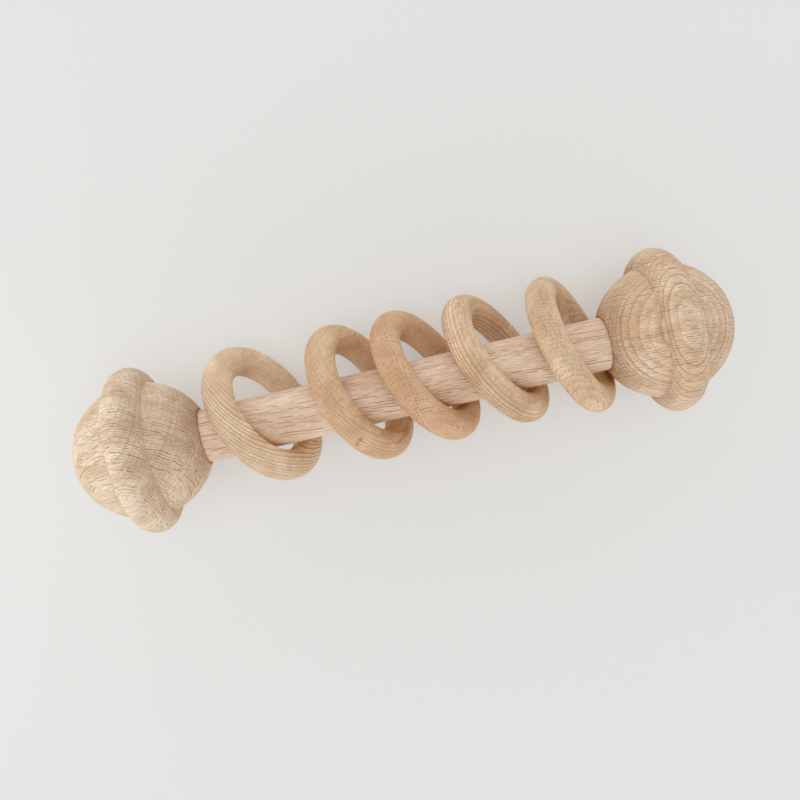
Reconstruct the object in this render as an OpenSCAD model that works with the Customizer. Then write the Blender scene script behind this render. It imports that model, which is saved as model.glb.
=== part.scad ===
// A wooden hand rattle for a small child: a round shaft with a turned knob glued on
// each end, and loose rings that slide along the shaft. It lies on a surface with
// the shaft along X, and the origin is on that surface under the shaft's middle.

/* [Shaft] */
// Diameter of the shaft
shaft_d = 15; // [10:0.5:18]
// Distance between the middles of the two knobs
knob_span = 149.4; // [120:0.2:200]
// How far the shaft runs on past the middle of each knob
shaft_past = 3; // [-8:0.5:10]
// Bevel round each end of the shaft
shaft_bevel = 0.8; // [0.2:0.1:2]

/* [Knobs] */
// Diameter of the ball that each knob is turned from
ball_d = 38; // [32:0.5:46]
// How far the bead round the ball stands out from it
bead_proud = 4.4; // [3:0.1:5.3]
// Thickness of the bead, which has a half round rim
bead_w = 10.6; // [8:0.2:13]
// Radius of the crease between the bead and the ball
crease_r = 0.5; // [0.3:0.1:3]
// Bevel round the mouth of the socket that takes the shaft
mouth_bevel = 0.3; // [0.1:0.1:1]

/* [Rings] */
// Outer diameter of a ring
ring_od = 42.5; // [35:0.5:51]
// Thickness of a ring, which is round in section
ring_w = 8.5; // [6:0.1:10.5]
// How far a resting ring has slipped sideways off the shaft's top
ring_slip = 0.5; // [0:0.1:1]

/* [Rings at rest] */
// Place of the first ring: 0 is against the left knob, and 100 against the right one
ring_1_place = 5.7; // [0:0.1:12]
// Turn of the first ring about the upright
ring_1_turn = 25.2; // [15:0.1:30]
// Place of the second ring
ring_2_place = 35.9; // [28:0.1:42]
// Turn of the second ring
ring_2_turn = 22.1; // [15:0.1:30]
// Place of the third ring
ring_3_place = 57.2; // [52:0.1:62]
// Turn of the third ring
ring_3_turn = 26.9; // [15:0.1:30]
// Place of the fourth ring
ring_4_place = 79.8; // [75:0.1:84]
// Turn of the fourth ring
ring_4_turn = 27.6; // [15:0.1:30]
// Place of the fifth ring
ring_5_place = 100; // [94:0.1:100]
// Turn of the fifth ring
ring_5_turn = 18.5; // [15:0.1:30]

/* [Fits] */
// Room for glue round the shaft in its socket
glue_gap = 0.05; // [0.02:0.01:0.2]
// Empty depth between the shaft's end and the socket's floor
socket_spare = 1; // [0.5:0.1:3]
// Space between a resting ring and the top of the shaft
ring_play = 0.4; // [0.3:0.05:1]
// Space between a resting ring and the surface below
ring_lift = 0.2; // [0:0.05:0.5]
// Space between a ring and a knob that it lies against
knob_play = 0.35; // [0.2:0.05:1]

/* [Hidden] */
$fn = 120;

shaft_wood = [0.87, 0.74, 0.62];
knob_wood = [0.86, 0.72, 0.57];
pale_wood = [0.87, 0.74, 0.58];
tan_wood = [0.83, 0.66, 0.48];

ball_r = ball_d / 2;
shaft_r = shaft_d / 2;
shaft_half = knob_span / 2 + shaft_past;
shaft_z = ball_r + bead_proud;

// The socket is a blind hole from the knob's inner side
socket_r = shaft_r + glue_gap;
socket_floor = shaft_past + socket_spare;
mouth_y = -sqrt(ball_r ^ 2 - socket_r ^ 2);
mouth_flare = ball_r + mouth_y + mouth_bevel;

// The crease is cut a hair deeper than a touch, so that its edges are clean
crease_bite = 0.01;
rim_r = bead_w / 2;
bead_mid = ball_r + bead_proud - rim_r;
crease_far = ball_r + crease_r;
crease_near = rim_r + crease_r;
crease_x = (crease_far ^ 2 + bead_mid ^ 2 - crease_near ^ 2) / (2 * bead_mid);
crease_y = sqrt(crease_far ^ 2 - crease_x ^ 2);

// A ring leans on the shaft with its foot on the surface, or hangs upright if it is small
ring_r = ring_w / 2;
ring_mid = ring_od / 2 - ring_r;
shaft_top = shaft_z + shaft_r + ring_play;
ring_lean = acos(min(1, (shaft_top - ring_lift) / (2 * ring_mid)));
ring_z = shaft_top + ring_r - ring_mid * cos(ring_lean);

// How far a ring leans to the side, since its top stays over the shaft
function ring_aside(turn) = ring_mid * sin(ring_lean) * sin(turn) - ring_slip;

// Points on the centre line of a leaning ring, whose middle is at X = 0
line_step = 2;
function ring_line(turn) = [
    for (a = [0 : line_step : 360 - line_step])
        let(back = ring_mid * cos(a) * sin(ring_lean), across = ring_mid * sin(a))
            [
                back * cos(turn) - across * sin(turn),
                back * sin(turn) + across * cos(turn) + ring_aside(turn),
                ring_z - ring_mid * cos(a) * cos(ring_lean)
            ]
];

// Least distance along X from a knob's middle to a point on a ring's centre line that
// lies this far out from the shaft's axis, as the ball and the bead allow it
function keep_off(out) =
    let(ball_reach = ball_r + ring_r + knob_play, bead_reach = rim_r + ring_r + knob_play)
        max(
            sqrt(max(0, ball_reach ^ 2 - out ^ 2)),
            sqrt(max(0, bead_reach ^ 2 - (out - bead_mid) ^ 2))
        );

// How far a ring's middle can go from X = 0 towards the knob on this side
function ring_stop(turn, side) =
    knob_span / 2 - max([
        for (p = ring_line(turn))
            side * p.x + keep_off(norm([p.y, p.z - shaft_z]))
    ]);

module shaft() {
    end = shaft_half;
    neck = shaft_r - shaft_bevel;
    color(shaft_wood)
        translate([0, 0, shaft_z])
            rotate([0, 90, 0])
                rotate_extrude()
                    polygon([
                        [0, -end], [neck, -end], [shaft_r, shaft_bevel - end],
                        [shaft_r, end - shaft_bevel], [neck, end], [0, end]
                    ]);
}

// Outline of the socket, which opens below
module socket() {
    polygon([
        [-ball_d, socket_floor], [socket_r, socket_floor],
        [socket_r, mouth_y + mouth_bevel], [socket_r + mouth_flare, -ball_r],
        [socket_r + mouth_flare, -ball_d], [-ball_d, -ball_d]
    ]);
}

// Half outline of a knob, with its axis up and its socket below
module knob_outline() {
    difference() {
        union() {
            circle(r = ball_r);
            translate([bead_mid, 0])
                circle(r = rim_r);
            polygon([[0, 0], [crease_x, -crease_y], [bead_mid, 0], [crease_x, crease_y]]);
        }
        for (side = [-1, 1])
            translate([crease_x, side * crease_y])
                circle(r = crease_r + crease_bite);
        socket();
        translate([-ball_d, -ball_d])
            square([ball_d, 2 * ball_d]);
    }
}

// A knob on the shaft's right end for side 1, and on its left end for side -1
module knob(side) {
    color(knob_wood)
        translate([side * knob_span / 2, 0, shaft_z])
            rotate([0, side * 90, 0])
                rotate_extrude()
                    knob_outline();
}

module knob_left() {
    knob(-1);
}

module knob_right() {
    knob(1);
}

// A loose ring, which leans back over the shaft and is turned about the upright
module ring(place, turn, wood) {
    left_stop = -ring_stop(turn, -1);
    right_stop = ring_stop(turn, 1);
    along = left_stop + (right_stop - left_stop) * place / 100;
    color(wood)
        translate([along, ring_aside(turn), ring_z])
            rotate([0, 90 - ring_lean, turn])
                rotate_extrude()
                    translate([ring_mid, 0])
                        circle(r = ring_r);
}

module ring_1() {
    ring(ring_1_place, ring_1_turn, pale_wood);
}

module ring_2() {
    ring(ring_2_place, ring_2_turn, tan_wood);
}

module ring_3() {
    ring(ring_3_place, ring_3_turn, tan_wood);
}

module ring_4() {
    ring(ring_4_place, ring_4_turn, pale_wood);
}

module ring_5() {
    ring(ring_5_place, ring_5_turn, pale_wood);
}

shaft();
knob_left();
knob_right();
ring_1();
ring_2();
ring_3();
ring_4();
ring_5();
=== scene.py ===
import math

import bpy
import numpy as np
from mathutils import Matrix, Vector, noise


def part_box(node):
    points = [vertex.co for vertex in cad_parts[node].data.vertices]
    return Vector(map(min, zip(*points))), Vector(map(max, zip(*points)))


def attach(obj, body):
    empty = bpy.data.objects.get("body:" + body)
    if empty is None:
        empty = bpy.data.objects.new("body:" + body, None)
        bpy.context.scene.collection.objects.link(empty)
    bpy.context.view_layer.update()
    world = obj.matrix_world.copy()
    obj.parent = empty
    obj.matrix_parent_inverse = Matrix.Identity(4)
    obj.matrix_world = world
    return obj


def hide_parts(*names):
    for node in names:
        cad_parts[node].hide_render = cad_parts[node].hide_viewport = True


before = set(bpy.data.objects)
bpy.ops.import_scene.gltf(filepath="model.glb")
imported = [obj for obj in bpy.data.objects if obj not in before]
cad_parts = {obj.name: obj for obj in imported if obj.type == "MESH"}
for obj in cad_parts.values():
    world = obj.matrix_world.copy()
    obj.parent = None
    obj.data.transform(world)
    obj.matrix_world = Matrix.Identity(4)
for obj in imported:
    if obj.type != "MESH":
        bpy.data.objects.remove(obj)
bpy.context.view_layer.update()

MM = 1000.0

# Sizes in metres, as in the construction, but for the crease, which is crisper here
BALL_RADIUS = 0.019
BEAD_THICKNESS = 0.0106
CREASE_RADIUS = 0.0003
MOUTH_BEVEL = 0.0003
SHAFT_RADIUS = 0.0075
SHAFT_BEVEL = 0.0008
GLUE_GAP = 0.00005
SHAFT_PAST = 0.003
SOCKET_SPARE = 0.001

# Mesh steps
KNOB_STEPS_AROUND = 192
RING_STEPS_ALONG = 192
RING_STEPS_AROUND = 60
SHAFT_STEPS_AROUND = 96
SHAFT_STEPS_ALONG = 60
ARC_STEP = math.radians(2.5)
POLE_GAP = ARC_STEP / 4

# Sanding: the most that it takes off a surface, and about how wide its hollows are
KNOB_SANDING = (0.00008, 0.011)
SHAFT_SANDING = (0.00004, 0.02)
RING_SANDING = (0.00008, 0.009)

# In the grain all lengths are in mm. A SIZE is the size of a noise along the fibres, outwards and
# across. A STEP gives the two values between which something comes in softly.
SEED_SHIFT = 17.0

# How far the fibres wander, over which length and breadth
WANDER = ((1.8, 40.0, 28.0), (1.0, 4.0, 2.4))

# Years: the pace of growth changes over a few of them, and each ends in a thin dark line
PACE_YEARS = 3
LATE_END = 0.93
LATE_CURVE = 2.5
LATE_GONE_STEP = (0.94, 1.0)
BOLD_STEP = (0.1, 0.9)
PATCH_SIZE = (12.0, 9.0, 9.0)
PATCH_STEP = (0.36, 0.56)
LINE_TINT = (0.66, 0.48, 0.37)
BAND_STEP = (0.0, 0.9)
BAND_PALE = (1.06, 1.08, 1.12)
BAND_DARK = (0.94, 0.92, 0.88)

# Rays: dashes in lanes that bend and sway, and how thick and how broken the dashes are
LANE_SIZE = (9.0, 5.0, 2.5)
LANE_SWAY = 1.3
LANE_SHIFT = 5.3
LANE_LINE = (0.08, 0.26)
LANE_FAINTEST = 0.35
DASH_NONE = 0.63
DASH_ALL = 0.37
DASH_EDGE = (-0.04, 0.06)
DASH_TINT = (0.52, 0.36, 0.27)
SIDE_STEP = (0.75, 0.95)
SIDE_SHARE = 0.2

# Fine streaks along the fibres, which also break up the lines, and soft clouds of colour
STREAK_SIZE = (3.0, 0.2, 0.2)
STREAK_STEP = (0.25, 0.75)
STREAK_DARK = (0.86, 0.81, 0.74)
STREAK_PALE = (1.13, 1.17, 1.24)
BREAK_STEP = (0.34, 0.52)
BREAK_LEAST = 0.5
CLOUD_SIZE = (20.0, 6.0, 6.0)
CLOUD_STEP = (0.32, 0.68)

# End grain
END_STEP = (0.5, 1.0)
END_TINT = (0.76, 0.70, 0.64)

# Painted shade where pieces meet and in creases: how far a neighbour counts in metres, the step of open sky
# and the tint of the shade
PAINTED_CORNER_SHADE = (
    (0.002, (0.4, 0.9), (0.72, 0.56, 0.43)),
    (0.007, (0.05, 0.5), (1.10, 0.92, 0.55)),
)
PAINTED_SHADE_SAMPLES = 8

# Surface of the wood: its relief is in metres
RELIEF = 0.00006
RELIEF_STRENGTH = 0.6
LATE_RELIEF = 0.5
MARK_RELIEF = -0.7
STREAK_RELIEF = 0.5
ROUGH_STEP = (0.3, 0.7)
ROUGH_LEVELS = (0.56, 0.66)
MARK_ROUGHNESS = 0.12
WOOD_SPECULAR = 0.35

# Floor: half its width in metres, its grain per metre, two close colours, and the plain tone
# that the camera sees in part
FLOOR_HALF = 1.5
FLOOR_GRAIN = 400.0
FLOOR_DARK = (0.865, 0.865, 0.85, 1.0)
FLOOR_PALE = (0.88, 0.88, 0.865, 1.0)
FLOOR_ROUGHNESS = 0.85
FLOOR_SPECULAR = 0.1
FLOOR_TONE = (0.765, 0.765, 0.75, 1.0)
FLOOR_PLAIN = 0.35

# Sky: its level at four heights, as sines of the angle, and how much brighter its left is
SKY_LEVELS = ((0.2, 1.0), (0.42, 0.15), (0.75, 0.2), (0.95, 1.0))
SKY_STRENGTH = 1.44
SKY_LEFT = 0.10

# Window light from the left
WINDOW_PLACE = (-0.27, 0.03, 0.08)
WINDOW_TARGET = (-0.05, 0, 0.02)
WINDOW_SIZE = 0.1
WINDOW_POWER = 0.065
WINDOW_TINT = (1.0, 1.0, 0.99)

# Camera: fitted to the outlines in the photo
CAMERA_LENS = 38.54
CAMERA_SENSOR = 36.0
CAMERA_NEAR = 0.01
CAMERA_RIGHT = (0.97424, -0.22178, 0.04831)
CAMERA_UP = (0.22586, 0.96836, -0.10914)
CAMERA_BACK = (-0.02258, 0.11724, 0.99285)
CAMERA_PLACE = (-0.00765, 0.02569, 0.26260)

# How each piece was cut from the tree, and how strongly its grain shows
# slot: its material in the record. seed: start of its chance values
# fibre, outward: the ways that the fibres run and that the tree grew. pith: distance to the pith
# light, warm: the two colours of its clouds. ends: how much darker its end grain is
# ruffle: share of the small bends
# year: a year's growth. pace: how much it varies. even: how bold the faintest line is
# late: thickness of a line. line: strength of lines and bands. faint: what is left in faint patches
# fade: where along outward the lines are full, where they have faded, and what is left of them
# dash: strength of the rays. gap: distance of their lanes. dash_size: length and depth of a dash
# cover: how much of a lane the dashes fill
PIECES = {
    "shaft": dict(
        slot="shaft_wood", seed=1.0, ends=0.0,
        fibre=(0.99, -0.07, 0.0), outward=(0.03, 0.23, 0.97), pith=150.0,
        light=(0.911, 0.737, 0.573), warm=(0.800, 0.588, 0.421), ruffle=0.2,
        year=1.6, pace=1.8, even=0.3, late=0.3, line=0.3, fade=(0.0, 1.0, 1.0), faint=0.4,
        dash=0.95, gap=0.6, dash_size=(5.0, 3.5), cover=0.5,
    ),
    "knob_left": dict(
        slot="knob_wood", seed=2.0, ends=0.6,
        fibre=(0.83, 0.18, 0.53), outward=(-0.5, 0.65, 0.57), pith=200.0,
        light=(0.841, 0.689, 0.522), warm=(0.692, 0.517, 0.348), ruffle=1.2,
        year=1.3, pace=1.8, even=0.3, late=0.5, line=0.42, fade=(0.0, 1.0, 1.0), faint=0.5,
        dash=0.86, gap=0.62, dash_size=(3.0, 2.4), cover=0.8,
    ),
    "knob_right": dict(
        slot="knob_wood", seed=3.0, ends=0.5,
        fibre=(1.0, -0.05, 0.06), outward=(-0.06, 0.11, 0.99), pith=200.0,
        light=(0.772, 0.602, 0.435), warm=(0.648, 0.452, 0.289), ruffle=0.3,
        year=1.4, pace=1.8, even=0.3, late=0.5, line=0.75, fade=(0.0, 1.0, 1.0), faint=0.8,
        dash=0.8, gap=0.6, dash_size=(1.5, 1.8), cover=0.7,
    ),
    "ring_1": dict(
        slot="ring_pale_wood", seed=4.0, ends=0.15,
        fibre=(0.1, -0.1, 0.99), outward=(-0.68, -0.73, 0.0), pith=60.0,
        light=(0.832, 0.656, 0.462), warm=(0.694, 0.496, 0.314), ruffle=0.3,
        year=0.85, pace=1.8, even=0.5, late=0.5, line=1.0, fade=(2.0, -5.0, 0.35), faint=0.5,
        dash=0.28, gap=0.8, dash_size=(1.2, 1.6), cover=0.5,
    ),
    "ring_2": dict(
        slot="ring_tan_wood", seed=5.0, ends=0.1,
        fibre=(-0.36, -0.23, 0.9), outward=(0.77, 0.48, 0.41), pith=300.0,
        light=(0.764, 0.543, 0.342), warm=(0.637, 0.407, 0.233), ruffle=0.8,
        year=0.85, pace=1.0, even=0.5, late=0.35, line=0.95, fade=(2.0, 5.0, 0.25), faint=0.7,
        dash=0.36, gap=0.65, dash_size=(1.2, 1.6), cover=0.6,
    ),
    "ring_3": dict(
        slot="ring_tan_wood", seed=6.0, ends=0.2,
        fibre=(-0.36, 0.58, 0.71), outward=(0.92, 0.33, 0.2), pith=80.0,
        light=(0.751, 0.500, 0.303), warm=(0.651, 0.409, 0.236), ruffle=0.3,
        year=0.75, pace=1.0, even=0.6, late=0.4, line=1.0, fade=(-3.0, 0.0, 0.15), faint=0.3,
        dash=0.6, gap=0.55, dash_size=(1.4, 1.4), cover=0.7,
    ),
    "ring_4": dict(
        slot="ring_pale_wood", seed=7.0, ends=0.55,
        fibre=(-0.23, -0.46, 0.86), outward=(-0.78, -0.44, -0.45), pith=300.0,
        light=(0.832, 0.625, 0.429), warm=(0.671, 0.459, 0.285), ruffle=0.4,
        year=1.15, pace=0.9, even=0.75, late=0.62, line=1.0, fade=(-2.0, -3.4, 0.3), faint=1.0,
        dash=0.55, gap=0.65, dash_size=(1.6, 2.0), cover=0.6,
    ),
    "ring_5": dict(
        slot="ring_pale_wood", seed=8.0, ends=0.6,
        fibre=(-0.2, 0.6, 0.77), outward=(0.0, -0.8, 0.6), pith=30.0,
        light=(0.825, 0.637, 0.440), warm=(0.695, 0.496, 0.319), ruffle=0.6,
        year=1.1, pace=1.8, even=0.3, late=0.25, line=0.65, fade=(0.0, 1.0, 1.0), faint=0.7,
        dash=0.78, gap=0.5, dash_size=(1.2, 1.6), cover=0.5,
    ),
}

# Small knots: piece, place in mm, reach, tint and share
KNOT_DARK = (0.42, 0.28, 0.18)
KNOT_RED = (0.80, 0.52, 0.42)
KNOT_PINK = (1.14, 1.00, 1.10)
KNOT_CORE = 0.3
KNOTS = (
    ("ring_2", (-15.1, -8.2, 38.3), 2.4, KNOT_PINK, 0.6),
    ("ring_2", (-15.2, -8.9, 37.9), 0.9, KNOT_RED, 0.95),
    ("ring_2", (-16.2, -9.7, 37.2), 0.65, KNOT_DARK, 0.6),
    ("ring_2", (-16.4, -10.2, 36.9), 0.65, KNOT_DARK, 0.7),
    ("ring_2", (-16.4, -10.8, 36.6), 0.65, KNOT_DARK, 0.5),
    ("ring_3", (5.5, -9.3, 37.4), 2.5, KNOT_RED, 0.4),
    ("ring_3", (5.6, -9.4, 37.4), 1.8, KNOT_PINK, 0.75),
)


# Meshes


def add_mesh(name, points, faces):
    mesh = bpy.data.meshes.new(name)
    mesh.from_pydata([tuple(p) for p in points], [], faces)
    mesh.polygons.foreach_set("use_smooth", [True] * len(mesh.polygons))
    mesh.validate()
    piece = bpy.data.objects.new(name, mesh)
    bpy.context.scene.collection.objects.link(piece)
    return piece


def sanded(points, normals, sanding, seed):
    """The points of a turned surface, with a little taken off in soft hollows."""
    depth, span = sanding
    shift = Vector((seed, 2 * seed, 3 * seed))
    moved = []
    for point, normal in zip(points, normals):
        bump = noise.noise(point / span + shift)
        moved.append(point - normal * depth * (0.5 + 0.5 * bump))
    return moved


def arc(middle, radius, start, stop):
    """Points and outward normals of an arc in the half plane, with angles from the axis."""
    steps = max(2, round(abs(stop - start) / ARC_STEP))
    turns = [start + (stop - start) * i / steps for i in range(steps + 1)]
    return [
        (middle[0] + radius * math.cos(t), middle[1] + radius * math.sin(t), math.cos(t), math.sin(t))
        for t in turns
    ]


def crease(middle, start, stop):
    """The arc of a hollow crease, whose normals point to its middle, without its first point."""
    points = arc(middle, CREASE_RADIUS, start, stop)[1:]
    return [(x, y, -normal_x, -normal_y) for x, y, normal_x, normal_y in points]


def revolved_faces(rows, steps):
    """Faces between the rows of points, and fans from two last points to the end rows."""
    faces = []
    for row in range(rows - 1):
        a, b = row * steps, (row + 1) * steps
        for i in range(steps):
            j = (i + 1) % steps
            faces.append((a + i, b + i, b + j, a + j))
    first, last, end = rows * steps, rows * steps + 1, (rows - 1) * steps
    for i in range(steps):
        j = (i + 1) % steps
        faces.append((first, i, j))
        faces.append((last, end + j, end + i))
    return faces


def revolve(name, outline, start, axis, steps, sanding, seed):
    """Turns an outline of (along, out, normal along, normal out) about the axis through start."""
    axis = Vector(axis)
    side = axis.orthogonal().normalized()
    up = axis.cross(side)
    points, normals = [], []
    for along, out, normal_along, normal_out in outline:
        for i in range(steps):
            turn = 2 * math.pi * i / steps
            spoke = side * math.cos(turn) + up * math.sin(turn)
            points.append(start + axis * along + spoke * out)
            normals.append(axis * normal_along + spoke * normal_out)
    points = sanded(points, normals, sanding, seed)
    points += [start + axis * outline[end][0] for end in (0, -1)]
    return add_mesh(name, points, revolved_faces(len(outline), steps))


def knob_outline(bead_out):
    """Outline of a knob from its outer pole to the floor of its socket, with the ball's middle at 0."""
    rim = BEAD_THICKNESS / 2
    bead_middle = bead_out - rim
    far, near = BALL_RADIUS + CREASE_RADIUS, rim + CREASE_RADIUS
    out = (far**2 + bead_middle**2 - near**2) / (2 * bead_middle)
    along = math.sqrt(far**2 - out**2)
    on_ball = math.atan2(out, along)
    on_bead = math.atan2(out - bead_middle, along)
    socket = SHAFT_RADIUS + GLUE_GAP
    mouth = -math.sqrt(BALL_RADIUS**2 - socket**2)
    flare = math.pi - math.asin((socket + MOUTH_BEVEL) / BALL_RADIUS)
    floor = SHAFT_PAST + SOCKET_SPARE
    outline = arc((0, 0), BALL_RADIUS, POLE_GAP, on_ball)
    outline += crease((along, out), on_ball + math.pi, on_bead + math.pi)
    outline += arc((0, bead_middle), rim, on_bead, math.pi - on_bead)[1:]
    outline += crease((-along, out), -on_bead, -on_ball)
    outline += arc((0, 0), BALL_RADIUS, math.pi - on_ball, flare)[1:]
    outline += [(mouth + MOUTH_BEVEL, socket, 0.0, 0.0), (floor, socket, 0.0, 0.0)]
    outline += [(floor, socket / 2, 0.0, 0.0), (floor, POLE_GAP * socket, 0.0, 0.0)]
    return outline


def make_knob(node, side):
    low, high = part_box(node)
    middle = (low + high) / 2
    pole = high.x if side > 0 else low.x
    start = Vector((pole - side * BALL_RADIUS, middle.y, middle.z))
    outline = knob_outline((high.z - low.z) / 2)
    seed = PIECES[node]["seed"]
    return revolve(node + "_turned", outline, start, (side, 0, 0), KNOB_STEPS_AROUND, KNOB_SANDING, seed)


def shaft_outline(half):
    """Outline of the shaft from end to end, with its middle at 0."""
    neck = SHAFT_RADIUS - SHAFT_BEVEL
    outline = [(-half, neck / 2, 0.0, 0.0), (-half, neck, 0.0, 0.0)]
    for i in range(SHAFT_STEPS_ALONG + 1):
        along = (half - SHAFT_BEVEL) * (2 * i / SHAFT_STEPS_ALONG - 1)
        outline.append((along, SHAFT_RADIUS, 0.0, 1.0))
    outline += [(half, neck, 0.0, 0.0), (half, neck / 2, 0.0, 0.0)]
    return outline


def make_shaft(node):
    low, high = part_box(node)
    outline = shaft_outline((high.x - low.x) / 2)
    middle = (low + high) / 2
    seed = PIECES[node]["seed"]
    return revolve(node + "_dowel", outline, middle, (1, 0, 0), SHAFT_STEPS_AROUND, SHAFT_SANDING, seed)


def ring_measures(node):
    """Middle, axis, radius of the centre line and radius of the section, from the faces of a CAD ring."""
    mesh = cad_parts[node].data
    areas = np.array([p.area for p in mesh.polygons])
    centres = np.array([p.center for p in mesh.polygons])
    middle = (centres * areas[:, None]).sum(0) / areas.sum()
    spread = centres - middle
    axis = np.linalg.eigh((spread * areas[:, None]).T @ spread)[1][:, 0]
    points = np.array([v.co for v in mesh.vertices]) - middle
    high = points @ axis
    out = np.linalg.norm(points - np.outer(high, axis), axis=1)
    return Vector(middle), Vector(axis), (out.max() + out.min()) / 2, (high.max() - high.min()) / 2


def make_ring(node):
    middle, axis, line_radius, section_radius = ring_measures(node)
    side = axis.orthogonal().normalized()
    up = axis.cross(side)
    points, normals, faces = [], [], []
    for i in range(RING_STEPS_ALONG):
        turn = 2 * math.pi * i / RING_STEPS_ALONG
        spoke = side * math.cos(turn) + up * math.sin(turn)
        a, b = i * RING_STEPS_AROUND, (i + 1) % RING_STEPS_ALONG * RING_STEPS_AROUND
        for j in range(RING_STEPS_AROUND):
            roll = 2 * math.pi * j / RING_STEPS_AROUND
            normal = spoke * math.cos(roll) + axis * math.sin(roll)
            points.append(middle + spoke * line_radius + normal * section_radius)
            normals.append(normal)
            k = (j + 1) % RING_STEPS_AROUND
            faces.append((a + j, b + j, b + k, a + k))
    points = sanded(points, normals, RING_SANDING, PIECES[node]["seed"])
    return add_mesh(node + "_turned", points, faces)


# Materials


class Graph:
    """Adds shader nodes to a material, one short call for each."""

    def __init__(self, name):
        self.material = bpy.data.materials.new(name)
        self.material.use_nodes = True
        self.tree = self.material.node_tree
        self.tree.nodes.clear()

    def put(self, socket, value):
        if isinstance(value, bpy.types.NodeSocket):
            self.tree.links.new(value, socket)
        else:
            socket.default_value = value

    def add(self, kind, settings=None, **inputs):
        node = self.tree.nodes.new("ShaderNode" + kind)
        for key, value in (settings or {}).items():
            setattr(node, key, value)
        for key, value in inputs.items():
            self.put(node.inputs[key.replace("_", " ")], value)
        return node

    def maths(self, operation, *values):
        node = self.add("Math", {"operation": operation})
        for socket, value in zip(node.inputs, values):
            self.put(socket, value)
        return node.outputs[0]

    def times(self, product, *others):
        for other in others:
            product = self.maths("MULTIPLY", product, other)
        return product

    def vector(self, operation, *values):
        node = self.add("VectorMath", {"operation": operation})
        for socket, value in zip(node.inputs, values):
            self.put(socket, value)
        return node.outputs["Value" if operation in ("DOT_PRODUCT", "LENGTH") else "Vector"]

    def join(self, x, y, z):
        return self.add("CombineXYZ", X=x, Y=y, Z=z).outputs[0]

    def scaled(self, place, size, shifts):
        """A point for a noise of this size, with each coordinate shifted."""
        return self.join(*(
            self.maths("MULTIPLY_ADD", value, 1 / length, shift)
            for value, length, shift in zip(place, size, shifts)
        ))

    def step(self, value, limits, start=0.0, stop=1.0):
        """Goes softly from start to stop while value goes from the first limit to the second."""
        node = self.add("MapRange", {"interpolation_type": "SMOOTHSTEP"})
        names = ("Value", "From Min", "From Max", "To Min", "To Max")
        for name, number in zip(names, (value, *limits, start, stop)):
            self.put(node.inputs[name], number)
        return node.outputs["Result"]

    def noise(self, vector, detail=2.0, roughness=0.5, output="Fac"):
        node = self.add("TexNoise", Vector=vector, Scale=1.0, Detail=detail, Roughness=roughness)
        return node.outputs[output]

    def chance(self, number):
        """A chance value from 0 to 1 for each whole number."""
        return self.add("TexWhiteNoise", {"noise_dimensions": "1D"}, W=number).outputs["Value"]

    def mix(self, share, first, second, blend="MIX"):
        node = self.add("Mix", {"data_type": "RGBA", "blend_type": blend})
        for socket, value in zip((node.inputs[0], node.inputs[6], node.inputs[7]), (share, first, second)):
            self.put(socket, value)
        return node.outputs[2]

    def tinted(self, share, body, tint):
        """The body colour, multiplied by the tint for this share."""
        return self.mix(share, body, self.mix(1.0, body, tint, "MULTIPLY"))


def colour(rgb, tint=(1.0, 1.0, 1.0)):
    return (rgb[0] * tint[0], rgb[1] * tint[1], rgb[2] * tint[2], 1.0)


def grain_axes(look):
    """Unit ways of the fibres, of the growth outwards and across both."""
    fibre = Vector(look["fibre"]).normalized()
    outward = Vector(look["outward"])
    outward = (outward - fibre * outward.dot(fibre)).normalized()
    return fibre, outward, fibre.cross(outward)


def wander(g, place, look, seed):
    """Bends the grain: in long soft bends, and in small ones that ruffle the lines."""
    along, out, wide = place
    for (amount, length, breadth), share in zip(WANDER, (1.0, look["ruffle"])):
        point = g.scaled((along, out, wide), (length, breadth, breadth), (seed, 0.0, 0.0))
        bend = g.vector("SUBTRACT", g.noise(point, output="Color"), (0.5, 0.5, 0.5))
        bend = g.add("SeparateXYZ", Vector=bend).outputs
        out = g.maths("MULTIPLY_ADD", bend[1], amount * share, out)
        wide = g.maths("MULTIPLY_ADD", bend[2], amount * share, wide)
    return along, out, wide


def count_years(g, place, look, seed):
    """Years since the pith, which pass faster in some parts than in others."""
    out, wide = place[1:]
    radius = g.vector("LENGTH", g.join(0.0, g.maths("ADD", out, look["pith"]), wide))
    point = g.join(g.times(radius, 1 / (PACE_YEARS * look["year"])), seed, 0.0)
    pace = g.noise(point, detail=1.0)
    return g.maths("MULTIPLY_ADD", pace, look["pace"], g.maths("DIVIDE", radius, look["year"]))


def late_lines(g, years, place, look, seed):
    """The thin dark line that ends each year, bold in some years and faint in some patches."""
    part = g.maths("FRACT", years)
    start = LATE_END - look["late"] / look["year"]
    rise = g.maths("POWER", g.step(part, (start, LATE_END)), LATE_CURVE)
    gone = g.step(part, LATE_GONE_STEP, 1.0, 0.0)
    bold = g.step(g.chance(g.maths("FLOOR", years)), BOLD_STEP, look["even"], 1.0)
    patch = g.noise(g.scaled(place, PATCH_SIZE, (0.0, 0.0, seed)))
    return g.times(rise, gone, bold, g.step(patch, PATCH_STEP, look["faint"], 1.0))


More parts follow.
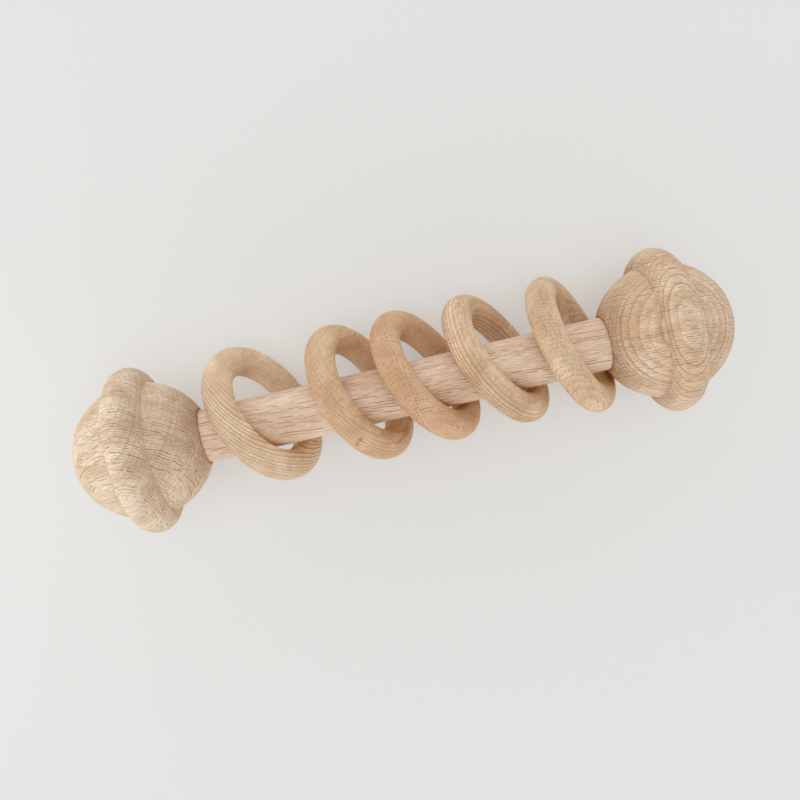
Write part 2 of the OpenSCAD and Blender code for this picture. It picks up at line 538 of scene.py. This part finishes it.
def rays(g, place, look, seed):
    """Thin dashes in lanes along the fibres, each lane with a strength and breaks of its own."""
    along, out, wide = place
    sway = g.noise(g.scaled(place, LANE_SIZE, (0.0, 0.0, seed)), detail=1.0)
    lane = g.maths("MULTIPLY_ADD", sway, LANE_SWAY, g.times(wide, 1 / look["gap"]))
    number = g.maths("FLOOR", lane)
    aside = g.maths("ABSOLUTE", g.maths("SUBTRACT", g.maths("FRACT", lane), 0.5))
    length, depth = look["dash_size"]
    point = g.join(
        g.times(along, 1 / length), g.times(out, 1 / depth), g.maths("MULTIPLY_ADD", number, LANE_SHIFT, seed)
    )
    run = g.noise(point, detail=1.0, roughness=0.4)
    level = DASH_NONE + (DASH_ALL - DASH_NONE) * look["cover"]
    run = g.step(run, (level + DASH_EDGE[0], level + DASH_EDGE[1]))
    bold = g.step(g.chance(number), (0.0, 1.0), LANE_FAINTEST, 1.0)
    return g.times(g.step(aside, LANE_LINE, 1.0, 0.0), run, bold)


def facing(g, normal, way):
    """How squarely the surface faces this way or away from it, from 0 to 1."""
    return g.maths("ABSOLUTE", g.vector("DOT_PRODUCT", normal, tuple(way)))


def grain_colour(g, look, years, kept, late, dash, streak, cloud):
    """Clouds, bands, lines, dashes and streaks, each laid over the last."""
    light, warm = look["light"], look["warm"]
    body = g.mix(g.step(cloud, CLOUD_STEP), colour(light), colour(warm))
    band = g.mix(g.step(g.maths("FRACT", years), BAND_STEP), colour(BAND_PALE), colour(BAND_DARK))
    body = g.tinted(g.times(kept, look["line"]), body, band)
    broken = g.step(streak, BREAK_STEP, BREAK_LEAST, 1.0)
    body = g.mix(g.times(late, broken, look["line"]), body, colour(warm, LINE_TINT))
    body = g.mix(g.times(dash, look["dash"]), body, colour(warm, DASH_TINT))
    shade = g.mix(g.step(streak, STREAK_STEP), colour(STREAK_DARK), colour(STREAK_PALE))
    return g.mix(1.0, body, shade, "MULTIPLY")


def knots(g, body, node, origin, middle):
    """Small round knots at the places in KNOTS."""
    for piece, place, reach, tint, share in KNOTS:
        if piece == node:
            offset = g.vector("SUBTRACT", origin, tuple(Vector(place) / MM - middle))
            near = g.vector("LENGTH", offset)
            near = g.step(near, (KNOT_CORE * reach / MM, reach / MM), share, 0.0)
            body = g.mix(near, body, colour(PIECES[node]["warm"], tint))
    return body


def painted_corner_shade(g, body):
    """Painted shade: darker and warmer where pieces meet and in creases, standing in for their shade on each
    other and for warm light bounced between them.
    """
    for reach, limits, tint in PAINTED_CORNER_SHADE:
        # Each pass paints shade, stronger where less open sky is seen within reach
        node = g.add("AmbientOcclusion", {"samples": PAINTED_SHADE_SAMPLES}, Distance=reach)
        body = g.tinted(g.step(node.outputs["AO"], limits, 1.0, 0.0), body, colour(tint))
    return body


def wood_surface(g, body, cloud, streak, late, dash):
    """Plain sanded wood, into which the marks are sunk a little."""
    marks = g.maths("MAXIMUM", g.times(late, LATE_RELIEF), dash)
    height = g.maths("MULTIPLY_ADD", marks, MARK_RELIEF, g.times(streak, STREAK_RELIEF))
    bump = g.add("Bump", Strength=RELIEF_STRENGTH, Distance=RELIEF, Height=height).outputs[0]
    rough = g.step(cloud, ROUGH_STEP, *ROUGH_LEVELS)
    rough = g.maths("ADD", rough, g.times(marks, MARK_ROUGHNESS))
    shader = g.add("BsdfPrincipled", Base_Color=body, Roughness=rough, Normal=bump)
    shader.inputs["Specular IOR Level"].default_value = WOOD_SPECULAR
    g.add("OutputMaterial", Surface=shader.outputs[0])


def beech(node, middle):
    """Solid beech, cut from the tree as PIECES says, so that its grain runs through the piece."""
    look = PIECES[node]
    seed = look["seed"] * SEED_SHIFT
    fibre, outward, across = grain_axes(look)
    g = Graph(node + "_beech")
    coords = g.add("TexCoord").outputs
    origin = g.vector("SUBTRACT", coords["Object"], tuple(middle))
    place = [g.vector("DOT_PRODUCT", origin, tuple(way * MM)) for way in (fibre, outward, across)]
    place = wander(g, place, look, seed)

    years = count_years(g, place, look, seed)
    full, faded, least = look["fade"]
    kept = g.step(place[1], (full, faded), 1.0, least)
    late = g.times(late_lines(g, years, place, look, seed), kept)
    on_side = g.step(facing(g, coords["Normal"], across), SIDE_STEP, 1.0, SIDE_SHARE)
    dash = g.times(rays(g, place, look, seed), on_side)
    streak = g.noise(g.scaled(place, STREAK_SIZE, (0.0, 0.0, seed)), detail=2.0, roughness=0.6)
    cloud = g.noise(g.scaled(place, CLOUD_SIZE, (seed, 0.0, 0.0)), detail=3.0, roughness=0.55)
    body = grain_colour(g, look, years, kept, late, dash, streak, cloud)
    body = knots(g, body, node, origin, middle)

    # End grain soaks up more oil, so it is darker
    on_end = g.step(facing(g, coords["Normal"], fibre), END_STEP, 0.0, look["ends"])
    body = g.tinted(on_end, body, colour(END_TINT))
    # Painted shade is laid into the wood colour where pieces meet and in creases
    wood_surface(g, painted_corner_shade(g, body), cloud, streak, late, dash)
    return g.material


def pale_floor():
    g = Graph("pale_floor")
    place = g.add("TexCoord").outputs["Object"]
    grain = g.noise(g.vector("MULTIPLY", place, (FLOOR_GRAIN, FLOOR_GRAIN, FLOOR_GRAIN)))
    tone = g.mix(grain, FLOOR_DARK, FLOOR_PALE)
    shader = g.add("BsdfPrincipled", Base_Color=tone, Roughness=FLOOR_ROUGHNESS)
    shader.inputs["Specular IOR Level"].default_value = FLOOR_SPECULAR
    # The camera sees part of the floor as plain tone, so the shadow stays as faint as in the photo
    tone = g.add("Emission", Color=FLOOR_TONE, Strength=1.0)
    seen = g.times(g.add("LightPath").outputs["Is Camera Ray"], FLOOR_PLAIN)
    both = g.add("MixShader")
    for socket, value in zip(both.inputs, (seen, shader.outputs[0], tone.outputs[0])):
        g.put(socket, value)
    g.add("OutputMaterial", Surface=both.outputs[0])
    return g.material


# Putting the object together


def dress(piece, node, body):
    low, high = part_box(node)
    piece.data.materials.append(beech(node, (low + high) / 2))
    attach(piece, body)
    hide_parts(node)


def make_object():
    dress(make_shaft("shaft"), "shaft", "handle")
    dress(make_knob("knob_left", -1), "knob_left", "handle")
    dress(make_knob("knob_right", 1), "knob_right", "handle")
    for number in range(1, 6):
        node = f"ring_{number}"
        dress(make_ring(node), node, node + "_body")


def make_floor():
    sides = ((-1, -1), (1, -1), (1, 1), (-1, 1))
    points = [(x * FLOOR_HALF, y * FLOOR_HALF, 0) for x, y in sides]
    floor = add_mesh("floor", points, [(0, 1, 2, 3)])
    floor.data.materials.append(pale_floor())


def make_window():
    lamp = bpy.data.lights.new("window", "AREA")
    lamp.shape = "DISK"
    lamp.size = WINDOW_SIZE
    lamp.energy = WINDOW_POWER
    lamp.color = WINDOW_TINT
    holder = bpy.data.objects.new("window", lamp)
    holder.location = WINDOW_PLACE
    way = Vector(WINDOW_TARGET) - Vector(WINDOW_PLACE)
    holder.rotation_euler = way.to_track_quat("-Z", "Y").to_euler()
    bpy.context.scene.collection.objects.link(holder)


def make_sky():
    """Soft light from all round: most from overhead and from low at the sides, so shadows stay faint."""
    world = bpy.data.worlds.new("soft_room")
    world.use_nodes = True
    tree = world.node_tree
    coords = tree.nodes.new("ShaderNodeTexCoord")
    ramp = tree.nodes.new("ShaderNodeValToRGB")
    split = tree.nodes.new("ShaderNodeSeparateXYZ")
    tree.links.new(coords.outputs["Generated"], split.inputs[0])
    tree.links.new(split.outputs["Z"], ramp.inputs["Fac"])
    ramp.color_ramp.interpolation = "EASE"
    levels = ramp.color_ramp.elements
    points = (levels[0], levels[1], levels.new(0.5), levels.new(0.6))
    for (height, level), point in zip(SKY_LEVELS, points):
        point.position = height
        point.color = (level, level, level, 1.0)
    sky = tree.nodes["Background"]
    tree.links.new(ramp.outputs["Color"], sky.inputs["Color"])
    tilt = tree.nodes.new("ShaderNodeMath")
    tilt.operation = "MULTIPLY_ADD"
    tree.links.new(split.outputs["X"], tilt.inputs[0])
    tilt.inputs[1].default_value = -SKY_LEFT * SKY_STRENGTH
    tilt.inputs[2].default_value = SKY_STRENGTH
    tree.links.new(tilt.outputs[0], sky.inputs["Strength"])
    bpy.context.scene.world = world


def make_camera():
    camera = bpy.data.cameras.new("photo_view")
    camera.lens = CAMERA_LENS
    camera.sensor_width = CAMERA_SENSOR
    camera.clip_start = CAMERA_NEAR
    holder = bpy.data.objects.new("photo_view", camera)
    turn = Matrix((CAMERA_RIGHT, CAMERA_UP, CAMERA_BACK)).transposed().to_4x4()
    holder.matrix_world = Matrix.Translation(CAMERA_PLACE) @ turn
    bpy.context.scene.collection.objects.link(holder)
    bpy.context.scene.camera = holder


make_object()
make_floor()
make_sky()
make_window()
make_camera()
bpy.context.scene.view_settings.view_transform = "Standard"
